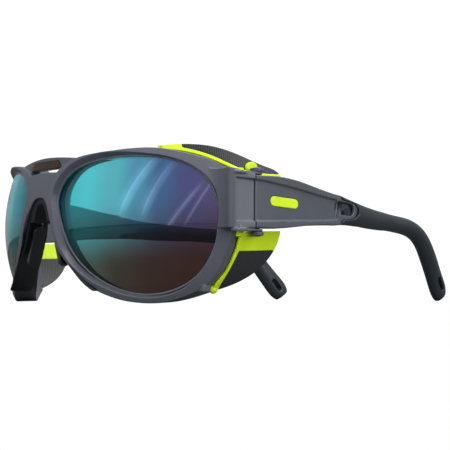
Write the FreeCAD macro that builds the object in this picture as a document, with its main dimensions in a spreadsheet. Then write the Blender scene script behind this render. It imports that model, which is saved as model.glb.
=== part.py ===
"""Wrap-around glacier glasses with hinged temples and removable side shields.

The drawing frame has its origin at the height of the lens centres, in the
middle of the nose and level with the front of the lenses.  X points to the
wearer's left, Y to the back of the head and Z up.  Each finished piece is then
placed so that the glasses stand on Z = 0 with the middle of their box at
X = Y = 0.  Pieces are drawn for the wearer's left and mirrored to the right.
"""
import FreeCAD, Part
import math
import os

V = FreeCAD.Vector

# ---------------------------------------------------------------- driving sizes
SIZES = [
    ("lens_lift", 27.2, "lens centre above the table"),
    ("middle_setback", 69.85, "lens front to the middle of the box"),
    ("lens_wide", 61.0, "width of the lens opening"),
    ("lens_tall", 46.4, "height of the lens opening"),
    ("lens_centre", 42.8, "lens centre from the middle of the nose"),
    ("lens_curve", 61.0, "radius of the lens front"),
    ("lens_thick", 1.8, "lens thickness"),
    ("wrap_angle", 28.5, "each lens turned round the face, degrees"),
    ("tilt_angle", 1.2, "each lens leaning over the cheek, degrees"),
    ("groove", 1.0, "how far the lens sits in the rim"),
    ("fit_gap", 0.05, "clearance of a lens in its groove"),
    ("rim_proud", 2.2, "rim face in front of the lens, on average"),
    ("rim_deep", 5.0, "rim wall behind the lens front, on average"),
    ("front_reach", 16.0, "how far outlines reach in front of the lens"),
    ("endpiece_back", 27.9, "back of the endpiece, at the temple seam"),
    ("bridge_front", 9.9, "bridge face in front of the drawing origin"),
    ("bridge_thick", 5.0, "bridge thickness"),
    ("bridge_curve", 73.0, "radius of the bridge face from top to bottom"),
    ("bar_front", 7.0, "top bar in front of the drawing origin"),
    ("bar_thick", 3.6, "top bar thickness"),
    ("bar_curve", 90.0, "radius of the top bar seen from above"),
    ("badge_deep", 0.6, "depth of the badge recess"),
    ("badge_proud", 0.2, "badge standing out of the bar"),
    ("badge_gap", 0.1, "clearance round the badge"),
    ("hinge_out", 72.4, "hinge axis from the middle"),
    ("hinge_back", 30.4, "hinge axis behind the drawing origin"),
    ("pin_radius", 0.9, "hinge pin"),
    ("pin_gap", 0.05, "hinge pin in the temple barrel"),
    ("barrel_radius", 1.9, "temple barrel and hinge lugs"),
    ("lug_gap", 0.3, "lug to temple, above and below"),
    ("lug_tall", 0.9, "height of a hinge lug"),
    ("cap_radius", 2.2, "hinge cap"),
    ("cap_tall", 1.6, "height of a hinge cap"),
    ("temple_thick", 4.4, "temple thickness behind the hinge"),
    ("temple_top", 14.7, "temple top at the hinge"),
    ("temple_bottom", -2.5, "temple bottom at the hinge"),
    ("panel_deep", 0.7, "sunk panel on the endpiece and temple"),
    ("inlay_long", 12.6, "coloured inlay bar"),
    ("inlay_tall", 3.2, "coloured inlay bar"),
    ("inlay_proud", 0.2, "inlay above the sunk panel"),
    ("core_thick", 0.9, "metal strip in the temple tip"),
    ("shield_thick", 1.5, "side shield wall"),
    ("shield_gap", 0.35, "side shield to frame and temple"),
    ("clip_radius", 1.5, "ball of the lower shield clip"),
    ("insert_thick", 1.6, "soft liner on the nose wall"),
    ("pad_long", 15.6, "nose pad"),
    ("pad_wide", 4.3, "nose pad"),
    ("pad_thick", 1.9, "nose pad"),
    ("pad_gap", 0.35, "nose pad off the liner"),
    ("pad_lean", 22.0, "nose pad from the vertical, degrees"),
    ("pad_roll", 0.8, "rolled root of the pad wire"),
    ("slot_long", 6.4, "lanyard slot in the temple tip"),
    ("slot_wide", 2.2, "lanyard slot in the temple tip"),
]

# Outlines, as points that a smooth curve passes through.
# Lens opening, as shares of its width and height, from the temple side upwards.
LENS_OUTLINE = [
    (0.480, 0.065), (0.410, 0.310), (0.246, 0.431), (0.000, 0.472),
    (-0.262, 0.448), (-0.443, 0.371), (-0.528, 0.207), (-0.497, 0.043),
    (-0.393, -0.235), (-0.180, -0.444), (0.082, -0.530), (0.328, -0.429),
    (0.452, -0.194)]
# How steeply the rim flares in front of the lens at each of those points.
BEVEL_SLOPE = [0.25, 0.3, 0.35, 0.45, 0.8, 1.1, 1.15, 1.1, 0.7, 0.45, 0.4, 0.3, 0.25]
# Outer edge of the left rim seen from the front, from the temple side upwards.
RIM_OUTLINE = [
    (69.5, 4.0), (70.0, 10.0), (68.4, 16.6), (63.0, 20.5), (56.0, 23.5),
    (46.0, 24.7), (36.0, 24.4), (27.0, 23.7), (20.0, 22.9), (14.5, 21.4),
    (9.6, 18.7), (5.9, 14.0), (5.7, 8.0), (8.6, 1.8), (11.3, -5.5),
    (18.5, -14.7), (24.3, -20.3), (31.6, -24.4), (40.0, -26.8), (48.0, -26.9),
    (55.6, -24.4), (60.4, -21.2), (64.0, -16.2), (66.6, -9.6), (68.6, -2.0)]
# The same edge square to the lens, about the lens centre, where the rim wall
# leans with the lens; then a wide margin over the nose.
RIM_LEANING = [
    (-17.8, 23.9), (-7.4, 24.2), (6.2, 24.6), (15.7, 23.2), (23.5, 21.1), (32.2, 17.7), (36.4, 6.0),
    (35.3, -5.0), (33.8, -12.4), (32.4, -16.2), (29.2, -20.4), (24.9, -23.0), (19.3, -25.0), (12.8, -26.6),
    (6.1, -27.2), (-0.8, -26.8), (-11.0, -24.6), (-19.5, -20.8), (-25.9, -14.9)]
RIM_MARGIN = [(-40.0, -8.0), (-44.0, 30.0), (-17.8, 30.0)]
# Web between the rims: its top edge, then the nose arch.
WEB_TOP = [(-9.5, 18.4), (0.0, 18.9), (9.5, 18.4)]
WEB_ARCH = [(7.2, 4.4), (5.0, 7.7), (3.1, 9.3), (0.0, 9.9), (-3.1, 9.3), (-5.0, 7.7), (-7.2, 4.4)]
# Top bar above the vent slot.
BAR_TOP = [(-20.0, 22.7), (-9.5, 23.8), (0.0, 24.2), (9.5, 23.8), (20.0, 22.7)]
BAR_FOOT = [(16.0, 20.3), (8.0, 20.1), (0.0, 20.2), (-8.0, 20.1), (-16.0, 20.3)]
# Endpiece seen from above: front face, rounded corner, side face.
ENDPIECE_FACE = [(58.0, 15.2), (65.5, 19.1), (71.3, 19.3)]
ENDPIECE_CORNER = [(71.3, 19.3), (72.9, 20.0), (73.5, 21.6)]
# Outer face of the temple seen from above, from the hinge backwards.
TEMPLE_LINE = [(75.0, 28.0), (74.9, 38.0), (74.2, 50.0), (73.0, 60.0), (70.9, 75.0), (69.6, 82.0)]
# Side view of the temple: top edge, rounded tongue and bottom edge.
TEMPLE_SPAN = [(31.0, 14.7), (37.0, 14.8), (44.0, 14.3), (52.0, 13.0), (60.0, 11.5), (68.6, 10.3)]
TEMPLE_FOOT = [(68.6, -0.2), (60.0, -0.5), (50.0, -1.2), (42.0, -2.1), (31.0, -2.5)]
TONGUE = [(70.4, 8.9), (76.4, 7.9), (78.6, 6.6), (79.0, 5.2), (78.6, 3.9), (76.4, 2.4), (70.4, 1.7)]
# Stations of the soft tip: outward, back, height, section height, section
# width and how far the path has turned down, degrees.
TIP_STATIONS = [
    (71.3, 68.9, 5.1, 10.5, 4.0, 0.0), (69.9, 75.0, 4.5, 9.2, 4.5, 0.0),
    (67.4, 84.0, 3.6, 8.0, 5.0, 3.0), (63.6, 95.0, 2.9, 7.2, 5.4, 3.0),
    (58.9, 110.0, 2.2, 6.4, 5.8, 4.0), (55.9, 120.5, 1.2, 6.6, 6.0, 14.0),
    (54.6, 127.0, -1.2, 6.9, 6.0, 32.0), (53.4, 132.3, -5.6, 7.4, 6.0, 46.0),
    (51.8, 137.6, -12.2, 8.2, 5.8, 52.0), (50.0, 142.6, -18.8, 9.0, 5.4, 53.0),
    (48.8, 146.2, -23.4, 8.6, 5.0, 53.0), (48.3, 147.5, -25.2, 6.6, 4.2, 53.0)]
# Side view of the upper shield flap and of its dark panel.
FLAP_TOP = [(9.8, 25.7), (15.0, 25.8), (20.3, 24.9), (25.3, 23.1), (31.0, 20.7), (37.6, 18.5),
            (41.6, 17.2), (43.0, 15.8)]
FLAP_FOOT = [(43.0, 15.3), (31.0, 15.4), (27.0, 16.3), (22.8, 18.4), (18.0, 21.4), (13.5, 23.5), (9.8, 24.2)]
FLAP_LINE = [(45.6, 5.5), (49.0, 7.7), (54.9, 11.7), (60.0, 15.6), (63.4, 18.4), (66.9, 22.6),
             (69.0, 27.0), (70.0, 32.0), (70.2, 44.0)]
# Front view of the lower flap: it follows the outside of the rim.
LOWER_LINE = [(70.2, -2.0), (69.4, -4.4), (67.4, -10.0), (65.0, -15.6), (61.8, -20.8), (59.2, -24.0)]
LOWER_BACK = [(43.0, -2.9), (42.3, -8.6), (39.8, -13.2), (36.0, -17.0), (30.6, -20.2), (22.4, -22.9)]
LOWER_FRONT = [(22.4, -22.9), (21.9, -20.6), (23.6, -17.4), (25.2, -12.6), (26.2, -8.0),
               (27.0, -4.6), (29.4, -3.4)]
# Back of the rim beside the lower flap.
RIM_TRIM = [(20.4, -25.0), (21.4, -20.6), (23.1, -17.4), (24.7, -12.6), (25.7, -8.0), (26.3, -3.6)]
# Soft nose liner: inner surface of its left half, from the arch downwards.
LINER_INNER = [(0.0, 7.6), (1.7, 7.1), (3.0, 5.4), (3.9, 3.2), (4.7, 1.25)]
LINER_WALL = [(7.6, 1.25), (10.6, -5.9), (14.1, -10.9), (18.3, -14.9), (24.3, -20.5), (28.5, -23.0)]
LINER_BACK = [(-4.4, 10.4), (-3.0, 7.2), (-1.8, 4.0), (-0.9, 0.0), (-0.2, -8.0), (1.4, -15.0), (5.0, -26.4)]
LINER_FRONT = [(-3.0, -26.4), (-6.0, -20.8), (-7.8, -14.9), (-8.8, -6.0), (-9.0, 2.0), (-8.8, 10.4)]

doc = FreeCAD.newDocument("glacier_glasses")
sheet = doc.addObject("Spreadsheet::Sheet", "Sizes")
for row, (alias, value, meaning) in enumerate(SIZES, start=1):
    sheet.set("A%d" % row, alias)
    sheet.set("B%d" % row, str(value))
    sheet.set("C%d" % row, meaning)
    sheet.setAlias("B%d" % row, alias)
doc.recompute()


def size(alias):
    """A driving size as a number, for points and placements."""
    return float(sheet.get(alias))


# ------------------------------------------------------------------ sketch planes
LENS_PLANE = FreeCAD.Placement(
    V(size("lens_centre"), 0, 0),
    FreeCAD.Rotation(size("wrap_angle"), 0, 90 + size("tilt_angle")))
FRONT_PLANE = FreeCAD.Placement(V(0, 0, 0), FreeCAD.Rotation(0, 0, 90))
SIDE_PLANE = FreeCAD.Placement(V(0, 0, 0), FreeCAD.Rotation(90, 0, 90))
PLAN_PLANE = FreeCAD.Placement()


# ------------------------------------------------------------------ small helpers
def bind(item, **expressions):
    """Bind properties of an object to cells of the sheet."""
    for name, expression in expressions.items():
        item.setExpression(name.replace("__", "."), expression)
    return item


def loop(points):
    """A closed smooth curve through the points."""
    curve = Part.BSplineCurve()
    curve.interpolate([V(x, y, 0) for x, y in points], PeriodicFlag=True)
    return [curve]


def chain(*runs):
    """Curves joined end to end: two points make a line, more a smooth curve."""
    curves = []
    for number, run in enumerate(runs):
        points = [V(x, y, 0) for x, y in run]
        following = runs[(number + 1) % len(runs)][0]
        if len(points) == 2:
            curves.append(Part.LineSegment(points[0], points[1]))
        else:
            curve = Part.BSplineCurve()
            curve.interpolate(points)
            curves.append(curve)
        gap = V(following[0], following[1], 0) - points[-1]
        if gap.Length > 1e-6:
            curves.append(Part.LineSegment(points[-1], points[-1] + gap))
    return curves


def stadium(centre, long, wide, turn=0.0):
    """A bar with round ends, turned by an angle in degrees."""
    half = (long - wide) / 2
    along = V(math.cos(math.radians(turn)), math.sin(math.radians(turn)), 0)
    across = V(-along.y, along.x, 0) * (wide / 2)
    middle = V(centre[0], centre[1], 0)
    ahead, behind = middle + along * half, middle - along * half
    return [
        Part.LineSegment(behind - across, ahead - across),
        Part.Arc(ahead - across, ahead + along * (wide / 2), ahead + across),
        Part.LineSegment(ahead + across, behind + across),
        Part.Arc(behind + across, behind - along * (wide / 2), behind - across)]


def sketch(name, plane, curves):
    """A sketch that holds the curves on one of the planes."""
    item = doc.addObject("Sketcher::SketchObject", name)
    item.Placement = plane
    for curve in curves:
        item.addGeometry(curve, False)
    return item


def prism(name, plane, curves, ahead, behind="0"):
    """The curves extruded along the plane's normal; ahead and behind are expressions."""
    item = doc.addObject("Part::Extrusion", name)
    item.Base = sketch(name + "_sketch", plane, curves)
    item.DirMode = "Normal"
    item.Solid = True
    return bind(item, LengthFwd=ahead, LengthRev=behind)


def sheared(name, curves, start, direction, length):
    """A plan outline extruded from height start along a leaning direction."""
    item = doc.addObject("Part::Extrusion", name)
    item.Base = sketch(name + "_sketch", FreeCAD.Placement(V(0, 0, start), FreeCAD.Rotation()), curves)
    item.DirMode = "Custom"
    item.Dir = direction
    item.LengthFwd = length
    item.Solid = True
    return item


def ball(name, radius, along=0.0):
    """A ball about the lens centre of curvature, moved towards the temple."""
    item = doc.addObject("Part::Sphere", name)
    centre = LENS_PLANE.multVec(V(along, 0, -size("lens_curve")))
    item.Placement = FreeCAD.Placement(centre, FreeCAD.Rotation(90, 0, 0))
    return bind(item, Radius=radius)


def rod(name, radius, height, place):
    """A cylinder standing on the given placement."""
    item = doc.addObject("Part::Cylinder", name)
    item.Placement = place
    return bind(item, Radius=radius, Height=height)


def box(name, low, high):
    """A box between two corners."""
    item = doc.addObject("Part::Box", name)
    item.Length, item.Width, item.Height = high[0] - low[0], high[1] - low[1], high[2] - low[2]
    item.Placement.Base = V(*low)
    return item


def cut(name, base, tool):
    item = doc.addObject("Part::Cut", name)
    item.Base, item.Tool = base, tool
    return item


def fuse(name, *pieces):
    item = doc.addObject("Part::MultiFuse", name)
    item.Shapes = list(pieces)
    return item


def common(name, *pieces):
    item = doc.addObject("Part::MultiCommon", name)
    item.Shapes = list(pieces)
    return item


def mirrored(name, source):
    """The same piece on the other side of the nose."""
    item = doc.addObject("Part::Mirroring", name)
    item.Source = source
    item.Base = V(0, 0, 0)
    item.Normal = V(1, 0, 0)
    return item


def parallel(points, distance):
    """The points moved sideways by a distance, to the right of their direction."""
    moved = []
    for number, (x, y) in enumerate(points):
        before = points[max(number - 1, 0)]
        after = points[min(number + 1, len(points) - 1)]
        dx, dy = after[0] - before[0], after[1] - before[1]
        length = math.hypot(dx, dy)
        moved.append((x + dy / length * distance, y - dx / length * distance))
    return moved


def grown(points, distances):
    """A closed outline pushed outwards, by its own distance at each point."""
    moved = []
    count = len(points)
    for number, (x, y) in enumerate(points):
        before, after = points[number - 1], points[(number + 1) % count]
        dx, dy = after[0] - before[0], after[1] - before[1]
        length = math.hypot(dx, dy)
        moved.append((x + dy / length * distances[number], y - dx / length * distances[number]))
    return moved


def ribbon(line, outside, inside):
    """Plan curves of a wall between two offsets of one line."""
    return chain(parallel(line, outside), list(reversed(parallel(line, inside))))


nodes = {}


def keep(name, drawn, both_sides=False):
    """Name a finished piece, place it, and mirror it when there are two.

    The drawn piece stays where it is, so that it can still cut its neighbours.
    """
    label = name + "_left" if both_sides else name
    item = doc.addObject("Part::Refine", name + "_placed")
    item.Source = drawn
    item.Label = label
    bind(item, Placement__Base__y="-Sizes.middle_setback", Placement__Base__z="Sizes.lens_lift")
    nodes[label] = item
    if both_sides:
        twin = mirrored(name + "_twin", item)
        twin.Label = name + "_right"
        nodes[name + "_right"] = twin
    return item


# ------------------------------------------------------------------------ lenses
opening = [(share_x * size("lens_wide"), share_y * size("lens_tall")) for share_x, share_y in LENS_OUTLINE]


def opening_grown(distance):
    """The lens opening pushed out by one distance all round."""
    return grown(opening, [distance] * len(opening))


def lens_shell(name, margin, slack):
    """The space between the two lens faces inside a grown lens outline."""
    outer = ball(name + "_front", "Sizes.lens_curve + %g" % slack)
    inner = ball(name + "_back", "Sizes.lens_curve - Sizes.lens_thick - %g" % slack)
    edge = prism(name + "_edge", LENS_PLANE, loop(opening_grown(margin)),
                 "Sizes.front_reach", "Sizes.front_reach * 2")
    return cut(name, common(name + "_disc", edge, outer), inner)


lens = lens_shell("lens_blank", size("groove"), 0.0)
groove = lens_shell("groove_space", size("groove") + size("fit_gap"), size("fit_gap"))

# ------------------------------------------------------------------- frame front
rim_prism = prism("rim_prism", FRONT_PLANE, loop(RIM_OUTLINE), "Sizes.front_reach", "Sizes.endpiece_back")
rim_lean = prism("rim_lean", LENS_PLANE,
                 chain(RIM_LEANING, [RIM_LEANING[-1], RIM_MARGIN[0]], RIM_MARGIN[:2], RIM_MARGIN[1:]),
                 "Sizes.front_reach", "Sizes.front_reach * 2")
rim_face = ball("rim_face", "Sizes.lens_curve + Sizes.rim_proud", along=-1.6)
rim_hollow = ball("rim_hollow", "Sizes.lens_curve - Sizes.rim_deep", along=3.0)
rim_left = cut("rim_left", common("rim_front", rim_prism, rim_lean, rim_face), rim_hollow)

endpiece_plan = chain(ENDPIECE_FACE, ENDPIECE_CORNER,
                      [ENDPIECE_CORNER[-1], (75.0, size("endpiece_back"))],
                      [(75.0, size("endpiece_back")), (62.0, size("endpiece_back"))],
                      [(62.0, size("endpiece_back")), (58.0, 22.0)])
endpiece_side = chain([(10.0, 17.0), (21.0, 16.6), (28.4, 14.9), (31.0, 14.7)], [(31.0, -2.5), (10.0, -2.5)])
endpiece = common("endpiece",
                  prism("endpiece_prism", PLAN_PLANE, endpiece_plan, "30", "30"),
                  prism("endpiece_profile", SIDE_PLANE, endpiece_side, "90"))

hinge_place = V(size("hinge_out"), size("hinge_back"), 0)


def standing(height):
    """A placement on the hinge axis at the given height."""
    return FreeCAD.Placement(hinge_place + V(0, 0, height), FreeCAD.Rotation())


upper_lug_z = size("temple_top") + size("lug_gap")
lower_lug_z = size("temple_bottom") - size("lug_gap") - size("lug_tall")


def lug(name, start):
    """An arm from the endpiece to the hinge axis, ending in a round eye."""
    reach = size("hinge_back") - size("endpiece_back") + 6.0
    plan = stadium((size("hinge_out"), size("hinge_back") - reach / 2),
                   reach + 2 * size("barrel_radius"), 2 * size("barrel_radius"), turn=90)
    item = doc.addObject("Part::Extrusion", name)
    item.Base = sketch(name + "_sketch", FreeCAD.Placement(V(0, 0, start), FreeCAD.Rotation()), plan)
    item.DirMode = "Normal"
    item.Solid = True
    return bind(item, LengthFwd="Sizes.lug_tall")


clip_seat = V(59.6, 21.2, -22.4)
clip_lug = box("clip_lug", (clip_seat.x - 2.6, clip_seat.y - 3.8, clip_seat.z - 0.9),
               (clip_seat.x + 1.0, clip_seat.y, clip_seat.z + 1.3))
lug_root = box("lug_root", (size("hinge_out") - size("barrel_radius"), 22.0, lower_lug_z),
               (size("hinge_out") + size("barrel_radius") - 0.4, size("endpiece_back"),
                size("temple_bottom") + 0.6))

half_front = fuse("half_front", rim_left, endpiece, lug("upper_lug", upper_lug_z),
                  lug("lower_lug", lower_lug_z), lug_root, clip_lug)

# Cuts that each half needs: the lens opening, its flare, the groove, the sunk
# panel, the shield channel, the clip socket and the pin bore.
view_hole = prism("view_hole", LENS_PLANE, loop(opening), "Sizes.front_reach", "Sizes.front_reach * 2")


def flare_at(depth):
    """The flare's outline on a plane parallel to the lens at the given depth."""
    curve = size("lens_curve")
    distances = []
    for (x, y), slope in zip(opening, BEVEL_SLOPE):
        sag = curve - math.sqrt(curve ** 2 - x ** 2 - y ** 2)
        distances.append(slope * (depth + sag))
    return grown(opening, distances)


flare = doc.addObject("Part::Loft", "flare")
flare_planes = []
for number, depth in enumerate((-12.0, 8.0)):
    plane = LENS_PLANE.multiply(FreeCAD.Placement(V(0, 0, depth), FreeCAD.Rotation()))
    flare_planes.append(sketch("flare_ring_%d" % number, plane, loop(flare_at(depth))))
flare.Sections = flare_planes
flare.Solid, flare.Ruled = True, True
flare_cut = cut("flare_cut", flare, ball("flare_floor", "Sizes.lens_curve - 0.5"))

panel_top = [(20.9, 13.7), (31.0, 13.0), (45.0, 11.4), (60.0, 9.3), (67.4, 8.5)]
panel_foot = [(67.4, 1.7), (60.0, 1.1), (45.0, 0.4), (31.0, -0.2), (20.9, -0.4)]
panel_side = prism("panel_side", SIDE_PLANE,
                   chain(panel_top, [panel_top[-1], panel_foot[0]], panel_foot), "90")
endpiece_skin = prism(
    "endpiece_skin", PLAN_PLANE,
    chain([(73.4 - size("panel_deep"), 20.9), (75.0 - size("panel_deep"), 30.0)],
          [(78.0, 30.0), (78.0, 20.9)]),
    "30", "30")
sunk_panel = common("sunk_panel", endpiece_skin, panel_side)

strap_low, strap_high = (67.1, 25.2), (69.3, 27.6)
gap = size("shield_gap")
channel = box("channel", (strap_low[0] - gap, strap_low[1] - gap, -8.0), (strap_high[0] + gap, 32.0, 19.0))
clip_ball_space = doc.addObject("Part::Sphere", "clip_ball_space")
clip_ball_space.Placement.Base = clip_seat + V(0, 1.1, 0)
bind(clip_ball_space, Radius="Sizes.clip_radius + Sizes.shield_gap")
# The clip ball leaves its seat straight to the rear.
clip_run = rod("clip_run", "Sizes.clip_radius + Sizes.shield_gap", "9",
               FreeCAD.Placement(clip_seat + V(0, 1.1, 0), FreeCAD.Rotation(V(1, 0, 0), -90)))
pin_bore = rod("lug_bore", "Sizes.pin_radius", "60", standing(-30))

trim_line = LOWER_LINE + [(57.0, -26.8)]
trim_wall = prism("trim_wall", FRONT_PLANE,
                  ribbon(trim_line, -8.0, size("shield_thick") + size("shield_gap")), "-10", "50")
trim_back = prism("trim_back", SIDE_PLANE,
                  chain(RIM_TRIM, [RIM_TRIM[-1], (40.0, -3.6)], [(40.0, -3.6), (40.0, -25.0)]), "90")
rim_trim = common("rim_trim", trim_wall, trim_back)
# Rebate on top of the rim for the upper flap, open to the rear so that it slides out.
rebate_deep = 8.0
flap_start, flap_shear, flap_reach = 15.0, V(-0.42, 0, 1), 14.0
room_wall = sheared("room_wall", ribbon(FLAP_LINE, gap, -rebate_deep), flap_start, flap_shear, flap_reach)
room_foot = [(y, z - gap) for y, z in FLAP_FOOT]
room_side = chain(room_foot, [room_foot[-1], (9.3, 23.8)], [(9.3, 23.8), (9.3, 30.0)],
                  [(9.3, 30.0), (43.0, 30.0)])
flap_room = common("flap_room", room_wall, prism("room_side", SIDE_PLANE, room_side, "90"))
half_cuts = fuse("half_cuts", view_hole, flare_cut, sunk_panel, channel, clip_ball_space, clip_run, pin_bore,
                 rim_trim, flap_room)
half_bare = cut("half_bare", half_front, half_cuts)
left_half = cut("left_half", half_bare, groove)
right_half = mirrored("right_half", left_half)

# The bridge web and the vented top bar join the halves.
web_prism = prism("web_prism", FRONT_PLANE, chain(WEB_TOP, WEB_ARCH), "Sizes.front_reach", "0")


def cross_rod(name, radius, centre_y, centre_z):
    """A rod along X with its axis at the given place."""
    place = FreeCAD.Placement(V(-60, centre_y, centre_z), FreeCAD.Rotation(0, 90, 0))
    return rod(name, radius, "120", place)


bridge_axis = size("bridge_curve") - size("bridge_front")
web = cut("web",
          common("web_front", web_prism, cross_rod("web_face", "Sizes.bridge_curve", bridge_axis, 2.0)),
          cross_rod("web_back", "Sizes.bridge_curve - Sizes.bridge_thick", bridge_axis, 2.0))

bar_axis = FreeCAD.Placement(V(0, size("bar_curve") - size("bar_front"), 15), FreeCAD.Rotation())
bar_prism = prism("bar_prism", FRONT_PLANE, chain(BAR_TOP, BAR_FOOT), "Sizes.front_reach", "4")
bar = cut("bar", common("bar_front_part", bar_prism, rod("bar_face", "Sizes.bar_curve", "12", bar_axis)),
          rod("bar_back", "Sizes.bar_curve - Sizes.bar_thick", "12", bar_axis))


def badge_outline(margin):
    """Trapezoid of the badge, grown by a margin; its foot is the bar's foot."""
    low, high = 19.0, 22.7 + margin
    return chain([(-10.9 - margin, low), (10.9 + margin, low)],
                 [(8.6 + margin, high), (-8.6 - margin, high)])


badge_floor = rod("badge_floor", "Sizes.bar_curve - Sizes.badge_deep", "12", bar_axis)
badge_recess = cut("badge_recess",
                   prism("badge_recess_prism", FRONT_PLANE, badge_outline(size("badge_gap")),
                         "Sizes.front_reach"),
                   badge_floor)
badge_face = rod("badge_face", "Sizes.bar_curve + Sizes.badge_proud", "12", bar_axis)
badge_band = prism("badge_band", FRONT_PLANE,
                   chain([(-12.0, 20.35), (12.0, 20.35)], [(12.0, 23.5), (-12.0, 23.5)]),
                   "Sizes.front_reach")
badge = cut("badge", common("badge_front", badge_band, badge_face,
                            prism("badge_prism", FRONT_PLANE, badge_outline(0.0), "Sizes.front_reach")),
            rod("badge_back", "Sizes.bar_curve - Sizes.badge_deep", "12", bar_axis))

middle = cut("middle", fuse("middle_blank", web, bar), badge_recess)
lens_room = fuse("lens_room", view_hole, groove)
middle_open = cut("middle_open", middle, lens_room)
middle_trim = cut("middle_trim", middle_open, mirrored("lens_room_right", lens_room))
frame_front = fuse("frame_front_body", left_half, right_half, middle_trim)
keep("badge_plate", badge)
keep("lens", lens, both_sides=True)

# ------------------------------------------------------------------ hinge hardware
pin = rod("pin", "Sizes.pin_radius",
          "Sizes.temple_top - Sizes.temple_bottom + 2 * (Sizes.lug_gap + Sizes.lug_tall)",
          standing(lower_lug_z))
keep("hinge_pin", pin, both_sides=True)


def cap(name, start, upwards):
    """A domed cap on a hinge lug: a drum with a ball's top."""
    drum = rod(name + "_drum", "Sizes.cap_radius", "Sizes.cap_tall",
               standing(start if upwards else start - size("cap_tall")))
    dome = doc.addObject("Part::Sphere", name + "_dome")
    depth = 2.6 * size("cap_radius")
    offset = size("cap_tall") - depth
    dome.Placement = standing(start + offset if upwards else start - offset)
    dome.Radius = depth
    return common(name + "_body", drum, dome)


keep("hinge_cap_upper", cap("upper_cap", upper_lug_z + size("lug_tall"), True), both_sides=True)
keep("hinge_cap_lower", cap("lower_cap", lower_lug_z, False), both_sides=True)

# ------------------------------------------------------------------------ temples
thick = size("temple_thick")
temple_wall = prism("temple_wall", PLAN_PLANE, ribbon(TEMPLE_LINE, 0.0, -(thick - 0.6)), "30", "30")
temple_side = chain([(size("endpiece_back") + 0.3, 14.7), TEMPLE_SPAN[0]], TEMPLE_SPAN,
                    [TEMPLE_SPAN[-1], TONGUE[0]], TONGUE, [TONGUE[-1], TEMPLE_FOOT[0]], TEMPLE_FOOT,
                    [TEMPLE_FOOT[-1], (size("endpiece_back") + 0.3, -2.5)])
temple_profile = prism("temple_profile", SIDE_PLANE, temple_side, "90")
barrel = rod("barrel", "Sizes.barrel_radius", "Sizes.temple_top - Sizes.temple_bottom",
             standing(size("temple_bottom")))
# In front of the axis the temple keeps inside the barrel on the inner side.
inner_corner = box("inner_corner", (60.0, 20.0, -10.0), (size("hinge_out"), size("hinge_back"), 20.0))
temple_plate = cut("temple_plate", common("temple_shape", temple_wall, temple_profile), inner_corner)
temple_blank = fuse("temple_blank", temple_plate, barrel)

temple_skin = prism("temple_skin", PLAN_PLANE, ribbon(TEMPLE_LINE, 4.0, -size("panel_deep")), "30", "30")
temple_panel = common("temple_panel", temple_skin, panel_side)
window = prism("window", SIDE_PLANE, stadium((71.6, 5.7), 10.4, 4.4, turn=-4), "90")
window_space = common("window_space", window,
                      prism("window_skin", PLAN_PLANE, ribbon(TEMPLE_LINE, 4.0, -1.5), "30", "30"))
temple_bore = rod("temple_bore", "Sizes.pin_radius + Sizes.pin_gap", "60", standing(-30))

core_line = [(70.6, 62.0), (69.5, 72.0), (67.4, 84.0), (63.6, 95.0), (59.8, 107.0), (57.0, 117.0)]
core_wall = prism("core_wall", PLAN_PLANE,
                  ribbon(core_line, size("core_thick") / 2, -size("core_thick") / 2), "30", "30")
core_side = chain([(64.0, 7.9), (78.0, 7.0), (95.0, 4.6), (115.0, 3.4)],
                  [(115.0, 0.4), (95.0, 1.4), (78.0, 3.0), (64.0, 3.5)])
core = common("core", core_wall, prism("core_side", SIDE_PLANE, core_side, "90"))

inlay_shape = stadium((41.0, 6.3), size("inlay_long"), size("inlay_tall"), turn=-3)
inlay_space = prism("inlay_space", SIDE_PLANE, inlay_shape, "90")
inlay_wall = prism("inlay_wall", PLAN_PLANE,
                   ribbon(TEMPLE_LINE, size("inlay_proud") - size("panel_deep"), -size("panel_deep") - 0.5),
                   "30", "30")
inlay = common("inlay", inlay_space, inlay_wall)

temple_cuts = fuse("temple_cuts", temple_panel, window_space, temple_bore)
temple = cut("temple_body", cut("temple_open", cut("temple_cored", temple_blank, temple_cuts), core), inlay)
keep("temple", temple, both_sides=True)
keep("temple_inlay", inlay, both_sides=True)
keep("tip_core", core, both_sides=True)

# ---------------------------------------------------------------------- soft tips
sections = []
for number, (out, back, height, tall, wide, drop) in enumerate(TIP_STATIONS):
    ring = doc.addObject("Part::Ellipse", "tip_ring_%d" % number)
    ring.MajorRadius, ring.MinorRadius = tall / 2, wide / 2
    before = TIP_STATIONS[max(number - 1, 0)]
    after = TIP_STATIONS[min(number + 1, len(TIP_STATIONS) - 1)]
    forward = math.hypot(after[1] - before[1], after[2] - before[2])
    run = math.degrees(math.atan2(after[0] - before[0], forward))
    # The ring's long axis points up, its normal along the path.
    upright = FreeCAD.Rotation(V(0, 0, 1), V(1, 0, 0), V(0, 1, 0), "ZXY")
    turned = FreeCAD.Rotation(V(0, 0, 1), -run).multiply(FreeCAD.Rotation(V(1, 0, 0), -drop))
    ring.Placement = FreeCAD.Placement(V(out, back, height), turned.multiply(upright))
    sections.append(ring)
tip_loft = doc.addObject("Part::Loft", "tip_loft")
tip_loft.Sections = sections
tip_loft.Solid, tip_loft.Ruled = True, False

# The sleeve is open on the outside over the temple's tongue.
tongue_wall = prism("tongue_wall", PLAN_PLANE, ribbon(TEMPLE_LINE, 4.0, -(thick - 0.6)), "30", "30")
temple_solid = common("temple_solid", tongue_wall, temple_profile)
lanyard_turn = -53.0
lanyard_slot = prism("lanyard_slot", SIDE_PLANE,
                     stadium((143.6, -20.2), size("slot_long"), size("slot_wide"), turn=lanyard_turn), "90")
tip = cut("tip_body", cut("tip_hollow", cut("tip_plain", tip_loft, temple_solid), core), lanyard_slot)
keep("tip_sleeve", tip, both_sides=True)

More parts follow.
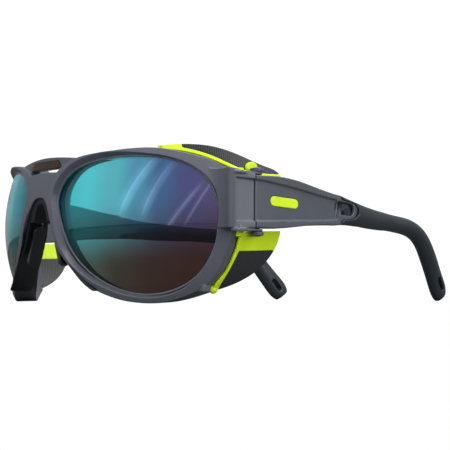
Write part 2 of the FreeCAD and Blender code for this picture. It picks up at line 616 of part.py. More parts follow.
# ------------------------------------------------------------------- side shields
flap_wall = sheared("flap_wall", ribbon(FLAP_LINE, 0.0, -size("shield_thick")),
                    flap_start, flap_shear, flap_reach)
flap_side = chain(FLAP_TOP, [FLAP_TOP[-1], FLAP_FOOT[0]], FLAP_FOOT, [FLAP_FOOT[-1], FLAP_TOP[0]])
flap = common("flap", flap_wall, prism("flap_side", SIDE_PLANE, flap_side, "90"))

lower_wall = prism("lower_wall", FRONT_PLANE, ribbon(LOWER_LINE, 0.0, size("shield_thick")), "-10", "50")
lower_side = chain(LOWER_BACK, LOWER_FRONT)
lower_flap = common("lower_flap", lower_wall, prism("lower_side", SIDE_PLANE, lower_side, "90"))

strap = box("strap", strap_low + (-5.2,), strap_high + (17.4,))
ear_place = FreeCAD.Placement(V(68.0, 31.0, 17.5), FreeCAD.Rotation(0, 90, 0))
ear = rod("ear", "2.1", "1.8", ear_place)
clip_ball = doc.addObject("Part::Sphere", "clip_ball")
clip_ball.Placement.Base = clip_seat + V(0, 1.1, 0)
bind(clip_ball, Radius="Sizes.clip_radius")

panel_upper_side = chain([(14.0, 27.5), (45.0, 27.5)],
                         [(45.0, 16.1), (31.4, 16.3), (27.2, 17.3), (23.0, 19.6), (18.4, 22.5),
                          (14.0, 24.6)])
panel_upper = cut("panel_upper",
                  common("panel_upper_part", flap,
                         prism("panel_upper_cut", SIDE_PLANE, panel_upper_side, "90")),
                  ear)
panel_lower_side = chain([(27.0, -9.9), (45.0, -9.2)], [(45.0, -24.0), (23.8, -24.0)],
                         [(23.8, -20.9), (24.9, -17.2), (26.1, -13.2), (27.0, -9.9)])
panel_lower = common("panel_lower", lower_flap, prism("panel_lower_cut", SIDE_PLANE, panel_lower_side, "90"))
carrier_blank = fuse("carrier_blank", flap, lower_flap, strap, ear, clip_ball)
carrier = cut("carrier_body", cut("carrier_open", carrier_blank, panel_upper), panel_lower)
keep("shield_carrier", carrier, both_sides=True)
keep("shield_panel_upper", panel_upper, both_sides=True)
keep("shield_panel_lower", panel_lower, both_sides=True)

# ---------------------------------------------------------------------------- nose
nose_edge = [(0.0, 10.2), (3.3, 9.6), (5.4, 7.9), (6.9, 5.8), (9.2, 2.0), (12.1, -5.0), (19.1, -14.1),
             (24.8, -19.6), (28.8, -22.3)]
liner_half = chain(LINER_INNER, [LINER_INNER[-1], LINER_WALL[0]], LINER_WALL,
                   [LINER_WALL[-1], nose_edge[-1]], list(reversed(nose_edge)),
                   [nose_edge[0], LINER_INNER[0]])
liner_side = prism("liner_side", SIDE_PLANE, chain(LINER_BACK, LINER_FRONT), "40")
liner_left = common("liner_left", prism("liner_prism", FRONT_PLANE, liner_half, "14", "6"), liner_side)

liner = fuse("liner", liner_left, mirrored("liner_right", liner_left))

pad_drop = V(math.sin(math.radians(size("pad_lean"))), 0, -math.cos(math.radians(size("pad_lean"))))
pad_outward = pad_drop.cross(V(0, 1, 0))
PAD_PLANE = FreeCAD.Placement(V(6.75, -5.4, 0.6), FreeCAD.Rotation(pad_drop, V(0, 1, 0), pad_outward, "ZXY"))
wire_root = (-2.2, -0.4)


def pad_box(name, low, high):
    """A box in the pad's own frame: down the pad, back, out to the wall."""
    item = box(name, (0, 0, 0), tuple(b - a for a, b in zip(low, high)))
    item.Placement = PAD_PLANE.multiply(FreeCAD.Placement(V(*low), FreeCAD.Rotation()))
    return item


def pad_rod(name, radius, half):
    """A rod along Y at the root of the pad wire."""
    start = V(wire_root[0], -half, wire_root[1])
    place = PAD_PLANE.multiply(FreeCAD.Placement(start, FreeCAD.Rotation(0, 0, -90)))
    return rod(name, radius, "%g" % (2 * half), place)


pad_blank = prism("pad_blank", PAD_PLANE,
                  stadium((size("pad_long") / 2, 0), size("pad_long"), size("pad_wide")),
                  "0", "Sizes.pad_thick")
wire = fuse("pad_wire", pad_rod("wire_roll", "Sizes.pad_roll", 1.6),
            pad_box("wire_strip", (wire_root[0], -1.2, -0.7), (12.0, 1.2, -0.1)))
pad = cut("pad", pad_blank, wire)
root_space = fuse("root_space", pad_rod("roll_space", "Sizes.pad_roll + Sizes.pin_gap", 1.8),
                  pad_box("strip_space", (wire_root[0], -1.5, -1.3), (3.0, 1.5, 0.5)))
liner_open = cut("liner_open", liner, root_space)
liner_both = cut("liner_both", liner_open, mirrored("root_space_right", root_space))
keep("nose_liner", liner_both)
keep("frame_front", cut("frame_front_seated", frame_front, liner))
keep("nose_pad", pad, both_sides=True)
keep("nose_pad_wire", wire, both_sides=True)

doc.recompute()
failed = [item.Name for item in doc.Objects if "Invalid" in item.State or "Error" in item.State]
if failed:
    raise RuntimeError("these objects failed: " + ", ".join(failed))
os.makedirs("parts", exist_ok=True)
for name, item in nodes.items():
    shape = item.Shape
    if shape.isNull() or not shape.isValid():
        raise RuntimeError(name + " has no valid shape")
    shape.exportStep("parts/%s.step" % name)
    span = shape.optimalBoundingBox()
    print("%-26s solids %d  volume %8.1f  X %6.1f %6.1f  Y %6.1f %6.1f  Z %6.1f %6.1f" % (
        name, len(shape.Solids), shape.Volume,
        span.XMin, span.XMax, span.YMin, span.YMax, span.ZMin, span.ZMax))
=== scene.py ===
import bpy
import math
from mathutils import Vector, Matrix


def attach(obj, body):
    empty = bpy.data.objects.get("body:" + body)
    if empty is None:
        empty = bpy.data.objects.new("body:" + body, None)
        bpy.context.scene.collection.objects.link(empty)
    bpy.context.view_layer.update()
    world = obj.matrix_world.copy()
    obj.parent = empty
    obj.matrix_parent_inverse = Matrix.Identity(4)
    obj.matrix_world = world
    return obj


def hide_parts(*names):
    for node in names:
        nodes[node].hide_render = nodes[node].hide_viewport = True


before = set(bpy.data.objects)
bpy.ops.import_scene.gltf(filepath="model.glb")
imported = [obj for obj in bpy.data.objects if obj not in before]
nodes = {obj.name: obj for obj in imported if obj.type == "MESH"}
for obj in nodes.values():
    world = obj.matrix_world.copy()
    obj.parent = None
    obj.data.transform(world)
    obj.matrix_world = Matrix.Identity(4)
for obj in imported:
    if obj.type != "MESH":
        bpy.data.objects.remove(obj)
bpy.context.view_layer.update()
scene = bpy.context.scene

# ------------------------------------------------------------------ key places
MM = 0.001
SETBACK = 69.85 * MM          # lens front to the middle of the box
LIFT = 27.2 * MM              # lens centre above the table
LENS_OUT = 42.8 * MM          # lens centre from the middle of the nose
WRAP = math.radians(28.5)     # each lens turned round the face
TILT = math.radians(1.2)


def place(x, y, z):
    """A point given in millimetres from the lens line, in the model's frame."""
    return Vector((x * MM, y * MM - SETBACK, z * MM + LIFT))


# ---------------------------------------------------------------- small helpers
def only(piece):
    """Select one piece and nothing else."""
    bpy.ops.object.select_all(action="DESELECT")
    piece.hide_set(False)
    piece.select_set(True)
    bpy.context.view_layer.objects.active = piece
    return piece


def copy_of(node, name):
    """The node's shape as one joined skin."""
    piece = bpy.data.objects.new(name, nodes[node].data.copy())
    scene.collection.objects.link(piece)
    only(piece)
    bpy.ops.object.mode_set(mode="EDIT")
    bpy.ops.mesh.select_all(action="SELECT")
    bpy.ops.mesh.remove_doubles(threshold=0.000002)
    bpy.ops.mesh.normals_make_consistent(inside=False)
    bpy.ops.object.mode_set(mode="OBJECT")
    return piece


def apply_modifier(piece, kind, **settings):
    only(piece)
    modifier = piece.modifiers.new(kind.lower(), kind)
    for key, value in settings.items():
        setattr(modifier, key, value)
    bpy.ops.object.modifier_apply(modifier=modifier.name)


def moulded(node, body, cell, rounds, finish, thinned=1.0):
    """A node's shape with the soft edges of a moulding; a fine skin is thinned afterwards."""
    piece = copy_of(node, "moulded_" + node)
    apply_modifier(piece, "REMESH", mode="VOXEL", voxel_size=cell * MM, adaptivity=0.0)
    apply_modifier(piece, "SMOOTH", factor=0.5, iterations=rounds)
    if thinned < 1.0:
        apply_modifier(piece, "DECIMATE", ratio=thinned)
    bpy.ops.object.shade_smooth()
    dress(piece, finish)
    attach(piece, body)
    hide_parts(node)
    return piece


def polished(node, body, finish, angle=30):
    """A node's own skin with smooth shading across its curved faces."""
    piece = copy_of(node, "polished_" + node)
    bpy.ops.object.shade_smooth_by_angle(angle=math.radians(angle))
    dress(piece, finish)
    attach(piece, body)
    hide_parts(node)
    return piece


def dress(piece, finish):
    """Give a piece one finish all over."""
    piece.data.materials.clear()
    piece.data.materials.append(finish)


# ------------------------------------------------------------------ node helpers
def add(tree, kind, **settings):
    """A node with its settings; input values go by input name or number."""
    item = tree.nodes.new(kind)
    for key, value in settings.pop("inputs", {}).items():
        item.inputs[key].default_value = value
    for key, value in settings.items():
        setattr(item, key, value)
    return item


def join(tree, start, end):
    tree.links.new(start, end)


def ramp(tree, source, stops, interpolation="LINEAR"):
    """A colour ramp fed by source: stops are (position, colour)."""
    item = tree.nodes.new("ShaderNodeValToRGB")
    item.color_ramp.interpolation = interpolation
    elements = item.color_ramp.elements
    while len(elements) < len(stops):
        elements.new(0.5)
    for element, (position, colour) in zip(elements, stops):
        element.position = position
        element.color = tuple(colour) + (1.0,) if len(colour) == 3 else colour
    join(tree, source, item.inputs["Fac"])
    return item.outputs["Color"]


def grey(level):
    return (level, level, level)


def srgb(red, green, blue):
    """A screen colour, 0 to 255, as light."""
    def channel(value):
        value = value / 255
        return value / 12.92 if value <= 0.04045 else ((value + 0.055) / 1.055) ** 2.4
    return (channel(red), channel(green), channel(blue))


def shade_of(colour, share):
    """The colour made darker or lighter, held to full light."""
    return tuple(min(1.0, share * channel) for channel in colour)


def new_group(name, inputs, outputs):
    """An empty node group with named float or vector inputs and outputs."""
    group = bpy.data.node_groups.new(name, "ShaderNodeTree")
    for label, kind, value in inputs:
        socket = group.interface.new_socket(label, in_out="INPUT", socket_type=kind)
        if value is not None:
            socket.default_value = value
    for label, kind in outputs:
        group.interface.new_socket(label, in_out="OUTPUT", socket_type=kind)
    return group, group.nodes.new("NodeGroupInput"), group.nodes.new("NodeGroupOutput")


# Spark-eroded mould texture: a fine pebbled height with a slow drift.
mould_grain, grain_in, grain_out = new_group(
    "mould_grain",
    [("Vector", "NodeSocketVector", None), ("Pebble", "NodeSocketFloat", 2600.0),
     ("Drift", "NodeSocketFloat", 60.0)],
    [("Height", "NodeSocketFloat"), ("Mottle", "NodeSocketFloat")])
pebbles = add(mould_grain, "ShaderNodeTexVoronoi", feature="SMOOTH_F1")
join(mould_grain, grain_in.outputs["Vector"], pebbles.inputs["Vector"])
join(mould_grain, grain_in.outputs["Pebble"], pebbles.inputs["Scale"])
fine = add(mould_grain, "ShaderNodeTexNoise", inputs={"Detail": 3.0})
join(mould_grain, grain_in.outputs["Vector"], fine.inputs["Vector"])
join(mould_grain, grain_in.outputs["Pebble"], fine.inputs["Scale"])
both = add(mould_grain, "ShaderNodeMath", operation="ADD")
join(mould_grain, pebbles.outputs["Distance"], both.inputs[0])
join(mould_grain, fine.outputs["Fac"], both.inputs[1])
join(mould_grain, both.outputs[0], grain_out.inputs["Height"])
drift = add(mould_grain, "ShaderNodeTexNoise", inputs={"Detail": 4.0, "Roughness": 0.6})
join(mould_grain, grain_in.outputs["Vector"], drift.inputs["Vector"])
join(mould_grain, grain_in.outputs["Drift"], drift.inputs["Scale"])
join(mould_grain, drift.outputs["Fac"], grain_out.inputs["Mottle"])

# Handling wear: a mask on the proud edges, broken up by noise.
edge_rub, rub_in, rub_out = new_group(
    "edge_rub",
    [("Vector", "NodeSocketVector", None), ("Start", "NodeSocketFloat", 0.53),
     ("Full", "NodeSocketFloat", 0.62)],
    [("Mask", "NodeSocketFloat")])
shape = add(edge_rub, "ShaderNodeNewGeometry")
proud = add(edge_rub, "ShaderNodeMapRange")
join(edge_rub, shape.outputs["Pointiness"], proud.inputs["Value"])
join(edge_rub, rub_in.outputs["Start"], proud.inputs["From Min"])
join(edge_rub, rub_in.outputs["Full"], proud.inputs["From Max"])
patches = add(edge_rub, "ShaderNodeTexNoise", inputs={"Scale": 320.0, "Detail": 5.0})
join(edge_rub, rub_in.outputs["Vector"], patches.inputs["Vector"])
broken = add(edge_rub, "ShaderNodeMath", operation="MULTIPLY")
join(edge_rub, proud.outputs["Result"], broken.inputs[0])
join(edge_rub, patches.outputs["Fac"], broken.inputs[1])
join(edge_rub, broken.outputs[0], rub_out.inputs["Mask"])


def start_finish(name):
    """A new material with its shader and object coordinates."""
    finish = bpy.data.materials.new(name)
    finish.use_nodes = True
    tree = finish.node_tree
    shader = tree.nodes["Principled BSDF"]
    where = add(tree, "ShaderNodeTexCoord").outputs["Object"]
    return finish, tree, shader, where


def use_group(tree, group, where, **values):
    item = add(tree, "ShaderNodeGroup", node_tree=group)
    join(tree, where, item.inputs["Vector"])
    for key, value in values.items():
        item.inputs[key].default_value = value
    return item


def blended(tree, factor, first, second, mode="MIX"):
    """Two colours mixed by a factor; each is a socket or a colour."""
    item = add(tree, "ShaderNodeMix", data_type="RGBA", blend_type=mode)
    for value, socket in ((factor, item.inputs[0]), (first, item.inputs[6]), (second, item.inputs[7])):
        if isinstance(value, bpy.types.NodeSocket):
            join(tree, value, socket)
        else:
            socket.default_value = tuple(value) + (1.0,) if isinstance(value, tuple) else value
    return item.outputs[2]


def moulded_plastic(name, colour, worn, rough=0.42, bump=0.06, pebble=2600.0, coat=0.0, rub=0.35):
    """Moulded plastic or rubber: grain, slow colour drift and rubbed edges."""
    finish, tree, shader, where = start_finish(name)
    grain = use_group(tree, mould_grain, where, Pebble=pebble)
    wear = use_group(tree, edge_rub, where)
    drifted = ramp(tree, grain.outputs["Mottle"],
                   [(0.3, shade_of(colour, 0.9)), (0.7, shade_of(colour, 1.1))])
    strength = add(tree, "ShaderNodeMath", operation="MULTIPLY", inputs={1: rub})
    join(tree, wear.outputs["Mask"], strength.inputs[0])
    join(tree, blended(tree, strength.outputs[0], drifted, worn), shader.inputs["Base Color"])
    gloss = ramp(tree, grain.outputs["Mottle"], [(0.3, grey(rough - 0.06)), (0.7, grey(rough + 0.06))])
    join(tree, gloss, shader.inputs["Roughness"])
    relief = add(tree, "ShaderNodeBump", inputs={"Strength": bump, "Distance": 0.0001})
    join(tree, grain.outputs["Height"], relief.inputs["Height"])
    join(tree, relief.outputs["Normal"], shader.inputs["Normal"])
    shader.inputs["Coat Weight"].default_value = coat
    shader.inputs["Coat Roughness"].default_value = 0.2
    return finish


def nose_overmould(finish, rubber):
    """Dark rubber flashed over the rim walls that face the nose, below the bridge."""
    tree = finish.node_tree
    shader = tree.nodes["Principled BSDF"]
    plastic = shader.inputs["Base Color"].links[0].from_socket
    spot = add(tree, "ShaderNodeSeparateXYZ")
    join(tree, add(tree, "ShaderNodeTexCoord").outputs["Object"], spot.inputs["Vector"])
    facing = add(tree, "ShaderNodeSeparateXYZ")
    join(tree, add(tree, "ShaderNodeNewGeometry").outputs["Normal"], facing.inputs["Vector"])
    hand = add(tree, "ShaderNodeMath", operation="SIGN")
    join(tree, spot.outputs["X"], hand.inputs[0])
    outward = add(tree, "ShaderNodeMath", operation="MULTIPLY")
    join(tree, hand.outputs[0], outward.inputs[0])
    join(tree, facing.outputs["X"], outward.inputs[1])
    back = add(tree, "ShaderNodeMath", operation="MULTIPLY_ADD", inputs={1: -0.6})
    join(tree, facing.outputs["Y"], back.inputs[0])
    join(tree, outward.outputs[0], back.inputs[2])
    wall = add(tree, "ShaderNodeMapRange", inputs={"From Min": -0.4, "From Max": -0.5})
    join(tree, back.outputs[0], wall.inputs["Value"])
    # The nose side: within 42 mm of the middle and below the arch.
    reach = add(tree, "ShaderNodeMath", operation="ABSOLUTE")
    join(tree, spot.outputs["X"], reach.inputs[0])
    near = add(tree, "ShaderNodeMapRange", inputs={"From Min": 42.5 * MM, "From Max": 41.5 * MM})
    join(tree, reach.outputs[0], near.inputs["Value"])
    low = add(tree, "ShaderNodeMapRange", inputs={"From Min": LIFT + 3 * MM, "From Max": LIFT - 3 * MM})
    join(tree, spot.outputs["Z"], low.inputs["Value"])
    zone = add(tree, "ShaderNodeMath", operation="MULTIPLY")
    join(tree, near.outputs["Result"], zone.inputs[0])
    join(tree, low.outputs["Result"], zone.inputs[1])
    mask = add(tree, "ShaderNodeMath", operation="MULTIPLY")
    join(tree, zone.outputs[0], mask.inputs[0])
    join(tree, wall.outputs["Result"], mask.inputs[1])
    join(tree, blended(tree, mask.outputs[0], plastic, rubber), shader.inputs["Base Color"])


def ribbed_rubber(name, colour, pitch, turn):
    """Dark rubber with fine parallel ribs, its grooves painted darker as painted shade and its crests
    painted lighter as painted highlight.
    """
    finish, tree, shader, where = start_finish(name)
    turned = add(tree, "ShaderNodeMapping", inputs={"Rotation": turn})
    join(tree, where, turned.inputs["Vector"])
    ribs = add(tree, "ShaderNodeTexWave", wave_type="BANDS", bands_direction="Y",
               inputs={"Scale": 2 * math.pi / (20 * pitch * MM), "Distortion": 0.0, "Detail": 0.0})
    join(tree, turned.outputs["Vector"], ribs.inputs["Vector"])
    grain = use_group(tree, mould_grain, where, Pebble=4200.0)
    # Painted shade in the rib grooves and painted highlight on the rib crests: the colour follows the rib
    # bands.
    painted_rib_shade = ramp(tree, ribs.outputs["Fac"], [(0.15, shade_of(colour, 0.4)), (0.75, shade_of(colour, 1.5))])
    join(tree, painted_rib_shade, shader.inputs["Base Color"])
    join(tree, ramp(tree, grain.outputs["Mottle"], [(0.3, grey(0.5)), (0.7, grey(0.62))]),
         shader.inputs["Roughness"])
    relief = add(tree, "ShaderNodeBump", inputs={"Strength": 0.6, "Distance": 0.00012})
    join(tree, ribs.outputs["Fac"], relief.inputs["Height"])
    join(tree, relief.outputs["Normal"], shader.inputs["Normal"])
    return finish


def brushed_metal(name, colour, rough):
    """Ground metal with fine lines along its length."""
    finish, tree, shader, where = start_finish(name)
    stretched = add(tree, "ShaderNodeMapping", inputs={"Scale": (3000.0, 200.0, 3000.0)})
    join(tree, where, stretched.inputs["Vector"])
    lines = add(tree, "ShaderNodeTexNoise", inputs={"Scale": 1.0, "Detail": 4.0})
    join(tree, stretched.outputs["Vector"], lines.inputs["Vector"])
    join(tree, ramp(tree, lines.outputs["Fac"],
                    [(0.3, shade_of(colour, 0.8)), (0.7, shade_of(colour, 1.15))]),
         shader.inputs["Base Color"])
    join(tree, ramp(tree, lines.outputs["Fac"], [(0.3, grey(rough - 0.08)), (0.7, grey(rough + 0.1))]),
         shader.inputs["Roughness"])
    relief = add(tree, "ShaderNodeBump", inputs={"Strength": 0.15, "Distance": 0.00005})
    join(tree, lines.outputs["Fac"], relief.inputs["Height"])
    join(tree, relief.outputs["Normal"], shader.inputs["Normal"])
    shader.inputs["Metallic"].default_value = 1.0
    return finish


def mirror_lens(name, side):
    """A brown lens with a mirror coat that runs from turquoise to violet."""
    finish, tree, shader, where = start_finish(name)
    handed = add(tree, "ShaderNodeVectorMath", operation="MULTIPLY", inputs={1: (side, 1.0, 1.0)})
    join(tree, where, handed.inputs[0])
    centre = place(42.8, 0, 0)
    # Across and up the lens, in shares of its half width and half height.
    local = add(tree, "ShaderNodeMapping", vector_type="TEXTURE",
                inputs={"Location": centre, "Rotation": (TILT, 0.0, WRAP), "Scale": (0.03, 0.03, 0.024)})
    join(tree, handed.outputs["Vector"], local.inputs["Vector"])
    axes = add(tree, "ShaderNodeSeparateXYZ")
    join(tree, local.outputs["Vector"], axes.inputs["Vector"])
    across = add(tree, "ShaderNodeMapRange", inputs={"From Min": -1.0, "From Max": 1.0})
    join(tree, axes.outputs["X"], across.inputs["Value"])
    upper = ramp(tree, across.outputs["Result"], UPPER_COAT, "EASE")
    lower = ramp(tree, across.outputs["Result"], LOWER_TINT, "EASE")
    # The coat fades downwards, a little sooner towards the temple.
    lean = add(tree, "ShaderNodeMath", operation="MULTIPLY_ADD", inputs={1: -0.1})
    join(tree, axes.outputs["X"], lean.inputs[0])
    join(tree, axes.outputs["Z"], lean.inputs[2])
    height = add(tree, "ShaderNodeMapRange", interpolation_type="SMOOTHSTEP",
                 inputs={"From Min": -0.62, "From Max": 0.42})
    join(tree, lean.outputs[0], height.inputs["Value"])
    coat = blended(tree, height.outputs["Result"], lower, upper)
    smear = add(tree, "ShaderNodeTexNoise", inputs={"Scale": 40.0, "Detail": 3.0})
    join(tree, where, smear.inputs["Vector"])
    shade = ramp(tree, smear.outputs["Fac"], [(0.3, grey(0.95)), (0.7, grey(1.0))])
    join(tree, blended(tree, 1.0, coat, shade, "MULTIPLY"), shader.inputs["Base Color"])
    join(tree, ramp(tree, smear.outputs["Fac"], [(0.3, grey(0.0)), (0.8, grey(0.008))]),
         shader.inputs["Roughness"])
    shader.inputs["Metallic"].default_value = 0.22
    shader.inputs["Transmission Weight"].default_value = 1.0
    shader.inputs["IOR"].default_value = 1.45
    return finish


UPPER_COAT = [(0.0, srgb(60, 205, 215)), (0.2, srgb(92, 212, 220)), (0.38, srgb(98, 196, 208)),
              (0.54, srgb(90, 160, 190)), (0.68, srgb(74, 112, 156)), (0.82, srgb(84, 90, 140)),
              (1.0, srgb(96, 84, 130))]
LOWER_TINT = [(0.0, srgb(52, 110, 104)), (0.2, srgb(74, 92, 84)), (0.42, srgb(68, 62, 52)),
              (0.64, srgb(64, 48, 42)), (0.85, srgb(62, 42, 38)), (1.0, srgb(60, 40, 40))]

slate = (0.082, 0.088, 0.112)
lime = srgb(206, 236, 20)
worn_slate = (0.3, 0.31, 0.35)
liner_black = (0.004, 0.006, 0.010)
rib_black = (0.020, 0.023, 0.027)
finishes = {
    "frame": moulded_plastic("slate_frame", slate, worn_slate, rough=0.40, coat=0.05),
    "temple": moulded_plastic("slate_temple", (0.068, 0.077, 0.096), worn_slate, rough=0.38, coat=0.05),
    "knob": moulded_plastic("slate_knob", (0.062, 0.067, 0.085), (0.3, 0.3, 0.35), rough=0.36),
    "lime": moulded_plastic("lime_plastic", lime, (0.8, 0.95, 0.3),
                            rough=0.34, bump=0.03, coat=0.15, rub=0.15),
    "tip": moulded_plastic("tip_rubber", (0.013, 0.019, 0.026), (0.10, 0.12, 0.14),
                           rough=0.46, pebble=3400.0),
    "liner": moulded_plastic("liner_rubber", liner_black, (0.04, 0.05, 0.06), rough=0.5),
    "pad": moulded_plastic("pad_rubber", (0.004, 0.005, 0.007), (0.03, 0.03, 0.03),
                           rough=0.2, bump=0.02, coat=0.5),
    "ribs_upper": ribbed_rubber("ribbed_rubber_upper", rib_black, 0.7, (0, 0, math.radians(24))),
    "ribs_lower": ribbed_rubber("ribbed_rubber_lower", rib_black, 0.75, (math.radians(12), 0, 0)),
    "badge": brushed_metal("bronze_badge", srgb(112, 92, 80), 0.42),
    "core": brushed_metal("dark_core", (0.10, 0.11, 0.13), 0.5),
    "steel": brushed_metal("ground_steel", (0.5, 0.5, 0.5), 0.3),
    "lens_left": mirror_lens("mirror_lens_left", 1.0),
    "lens_right": mirror_lens("mirror_lens_right", -1.0),
}

nose_overmould(finishes["frame"], liner_black)

# ---------------------------------------------------------------------- pieces
moulded("frame_front", "front", 0.19, 4, finishes["frame"], thinned=0.22)
moulded("nose_liner", "front", 0.3, 6, finishes["liner"])
polished("badge_plate", "front", finishes["badge"])
for side in ("left", "right"):
    arm = "temple_arm_" + side
    shield = "side_shield_" + side
    polished("lens_" + side, "front", finishes["lens_" + side], angle=40)
    moulded("hinge_cap_upper_" + side, "front", 0.12, 4, finishes["knob"])
    moulded("hinge_cap_lower_" + side, "front", 0.12, 4, finishes["knob"])
    polished("hinge_pin_" + side, "front", finishes["steel"])
    moulded("temple_" + side, arm, 0.22, 5, finishes["temple"])
    moulded("temple_inlay_" + side, arm, 0.12, 4, finishes["lime"])
    moulded("tip_sleeve_" + side, arm, 0.25, 6, finishes["tip"])
    polished("tip_core_" + side, arm, finishes["core"])
    moulded("shield_carrier_" + side, shield, 0.16, 5, finishes["lime"])
    moulded("shield_panel_upper_" + side, shield, 0.14, 4, finishes["ribs_upper"])
    moulded("shield_panel_lower_" + side, shield, 0.14, 4, finishes["ribs_lower"])
    pad_arm = "nose_pad_arm_" + side
    moulded("nose_pad_" + side, pad_arm, 0.16, 6, finishes["pad"])
    polished("nose_pad_wire_" + side, pad_arm, finishes["steel"])

# ------------------------------------------------------------ seat round each lens
# The opening, in millimetres about the lens centre, from the temple side upwards.
OPENING = [
    (29.28, 3.02), (25.01, 14.38), (15.01, 20), (0, 21.9), (-15.98, 20.79), (-27.02, 17.21),
    (-32.21, 9.6), (-30.32, 2), (-23.97, -10.9), (-10.98, -20.6), (5, -24.59), (20.01, -19.91),
    (27.57, -9)]
LENS_CURVE = 61.0
BEAD_REACH = 1.034            # share of the opening that the bead follows
BEAD_RADIUS = 0.45
BEAD_PROUD = 0.12


def lens_seat(side, hand):
    """A thin bead that follows the opening along the curved front of the lens."""
    bpy.ops.object.select_all(action="DESELECT")
    bpy.ops.curve.primitive_nurbs_circle_add(radius=1.0, location=(0, 0, 0))
    bead = bpy.context.object
    bead.name = "lens_seat_" + side
    line = bead.data
    line.splines.clear()
    ring = line.splines.new("NURBS")
    ring.points.add(len(OPENING) - 1)
    turn = Matrix.Rotation(WRAP, 4, "Z") @ Matrix.Rotation(math.pi / 2 + TILT, 4, "X")
    for point, (across, up) in zip(ring.points, OPENING):
        sag = LENS_CURVE - math.sqrt(LENS_CURVE ** 2 - across ** 2 - up ** 2)
        spot = turn @ Vector((across * BEAD_REACH, up * BEAD_REACH, -sag + BEAD_PROUD))
        spot = place(LENS_OUT / MM + spot.x, spot.y, spot.z)
        point.co = (spot.x * hand, spot.y, spot.z, 1.0)
    ring.use_cyclic_u = True
    ring.order_u = 3
    ring.resolution_u = 12
    line.dimensions = "3D"
    line.bevel_depth = BEAD_RADIUS * MM
    line.bevel_resolution = 3
    only(bead)
    bpy.ops.object.convert(target="MESH")
    bead = bpy.context.object
    bpy.ops.object.mode_set(mode="EDIT")
    bpy.ops.mesh.select_all(action="SELECT")
    bpy.ops.mesh.remove_doubles(threshold=0.000002)
    bpy.ops.mesh.normals_make_consistent(inside=False)
    bpy.ops.object.mode_set(mode="OBJECT")
    bpy.ops.object.shade_smooth()
    dress(bead, finishes["frame"])
    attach(bead, "front")


lens_seat("left", 1)
lens_seat("right", -1)

# ------------------------------------------------------------- floor and light
bpy.ops.object.select_all(action="DESELECT")
bpy.ops.mesh.primitive_plane_add(size=6.0, location=(0, 0, 0))
floor = bpy.context.object
floor.name = "floor"
floor_finish, tree, shader, where = start_finish("pale_floor")
seen = add(tree, "ShaderNodeLightPath")
direct = add(tree, "ShaderNodeMath", operation="MAXIMUM")
join(tree, seen.outputs["Is Camera Ray"], direct.inputs[0])
join(tree, seen.outputs["Is Transmission Ray"], direct.inputs[1])
join(tree, direct.outputs[0], shader.inputs["Emission Strength"])
join(tree, blended(tree, direct.outputs[0], grey(0.12), grey(0.0)), shader.inputs["Base Color"])
shader.inputs["Emission Color"].default_value = (1, 1, 1, 1)
shader.inputs["Roughness"].default_value = 1.0
shader.inputs["Specular IOR Level"].default_value = 0.0
floor.data.materials.append(floor_finish)

world = bpy.data.worlds.new("studio")
scene.world = world
world.use_nodes = True
sky = world.node_tree
back = sky.nodes["Background"]
path = add(sky, "ShaderNodeLightPath")
clear = add(sky, "ShaderNodeMath", operation="MAXIMUM")
join(sky, path.outputs["Is Camera Ray"], clear.inputs[0])
join(sky, path.outputs["Is Transmission Ray"], clear.inputs[1])
level = add(sky, "ShaderNodeMapRange", inputs={"To Min": 0.38, "To Max": 1.05})
join(sky, clear.outputs[0], level.inputs["Value"])
join(sky, level.outputs["Result"], back.inputs["Strength"])
back.inputs["Color"].default_value = (1, 1, 1, 1)


def softbox(name, spot, aim, wide, tall, power, glints=True):
    """An area light at a spot, facing an aim point; it may stay out of reflections."""
    light = bpy.data.lights.new(name, "AREA")
    light.shape, light.size, light.size_y, light.energy = "RECTANGLE", wide, tall, power
    lamp = bpy.data.objects.new(name, light)
    scene.collection.objects.link(lamp)
    direction = Vector(aim) - Vector(spot)
    turn = direction.to_track_quat("-Z", "Y").to_matrix().to_4x4()
    lamp.matrix_world = Matrix.Translation(spot) @ turn
    lamp.visible_glossy = glints
    lamp.visible_transmission = glints


softbox("top_light", (0.15, 0.1, 0.9), (0.03, -0.03, 0.02), 0.9, 0.9, 12.0)
softbox("side_light", (0.95, 0.25, 0.4), (0.05, -0.03, 0.02), 0.5, 0.7, 4.0)
softbox("front_light", (0.1, -1.0, 0.3), (0.0, -0.05, 0.02), 0.6, 0.6, 4.5, glints=False)
softbox("low_fill", (0.9, -0.2, 0.06), (0.05, -0.03, 0.02), 0.4, 0.1, 1.6, glints=False)


STRIP_REACH = 0.8             # metres from the lens front to a strip lamp
STRIP_STRETCH = 1.5           # lamp length as a share of the run its glint follows


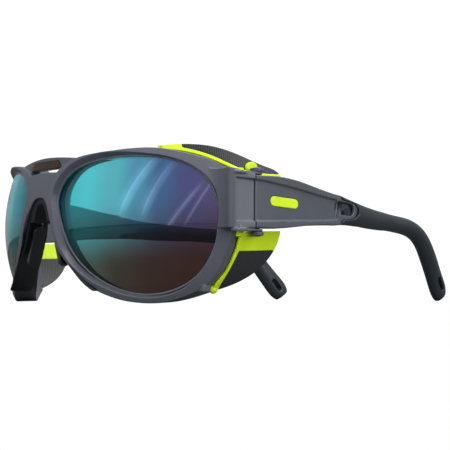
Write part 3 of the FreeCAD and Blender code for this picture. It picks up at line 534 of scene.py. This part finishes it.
def strip_lamp(name, start, end, leave_start, leave_end, wide, power):
    """A long thin lamp whose glint runs between two points of the lens front.

    start and end are those points, and leave_start and leave_end the ways the
    glint leaves them.
    """
    first = place(*start) + Vector(leave_start).normalized() * STRIP_REACH
    last = place(*end) + Vector(leave_end).normalized() * STRIP_REACH
    middle, run = (first + last) / 2, (last - first) * STRIP_STRETCH
    light = bpy.data.lights.new(name, "AREA")
    light.shape, light.size, light.size_y, light.energy = "RECTANGLE", wide, run.length, power
    # The lamp is brightest along its middle line and fades to all its edges.
    light.use_nodes = True
    tree = light.node_tree
    spread = add(tree, "ShaderNodeSeparateXYZ")
    join(tree, add(tree, "ShaderNodeNewGeometry").outputs["Parametric"], spread.inputs["Vector"])
    sides = ramp(tree, spread.outputs["X"], [(0.0, grey(0.0)), (0.3, grey(0.55)), (0.5, grey(1.0)),
                                             (0.62, grey(0.3)), (1.0, grey(0.0))], "EASE")
    ends = ramp(tree, spread.outputs["Y"], [(0.0, grey(0.0)), (0.4, grey(1.0)), (0.7, grey(1.0)),
                                            (1.0, grey(0.0))], "EASE")
    join(tree, blended(tree, 1.0, sides, ends, "MULTIPLY"), tree.nodes["Emission"].inputs["Strength"])
    lamp = bpy.data.objects.new(name, light)
    scene.collection.objects.link(lamp)
    facing = (middle - (place(*start) + place(*end)) / 2).normalized()
    along = run.normalized()
    sideways = along.cross(facing).normalized()
    turn = Matrix((sideways, along, facing)).transposed()
    lamp.matrix_world = Matrix.Translation(middle) @ turn.to_4x4()


# Start and end of each glint, the ways it leaves them, lamp width and power.
STRIPS = [
    ((48.0, 6.9, 20.4), (40.2, -1.3, 3.1),
     (0.139, -0.724, 0.676), (-0.091, -0.984, 0.154), 0.18, 0.75),
    ((52.8, 9.9, 18.2), (47.3, 2.7, 2.3),
     (0.338, -0.693, 0.637), (0.192, -0.972, 0.134), 0.15, 0.6),
    ((60.8, 15.9, 10.7), (53.4, 7.6, -3.7),
     (0.692, -0.584, 0.424), (0.457, -0.887, -0.069), 0.08, 0.4),
    ((63.2, 19.8, 13.0), (58.3, 12.1, -1.5),
     (0.751, -0.434, 0.498), (0.653, -0.757, 0.008), 0.05, 0.2)]
for number, strip in enumerate(STRIPS, start=1):
    strip_lamp("strip_%d" % number, *strip)

# ---------------------------------------------------------------------- camera
camera_data = bpy.data.cameras.new("camera")
camera_data.sensor_width = 36.0
camera_data.lens = 93.3
camera_data.clip_start = 0.01
camera = bpy.data.objects.new("camera", camera_data)
scene.collection.objects.link(camera)
eye = place(363.2, -215.0, -22.7)
aim = place(49.98, 35.0, -0.297)
camera.matrix_world = Matrix.Translation(eye) @ (aim - eye).to_track_quat("-Z", "Y").to_matrix().to_4x4()
scene.camera = camera
scene.view_settings.view_transform = "Standard"
scene.view_settings.look = "None"
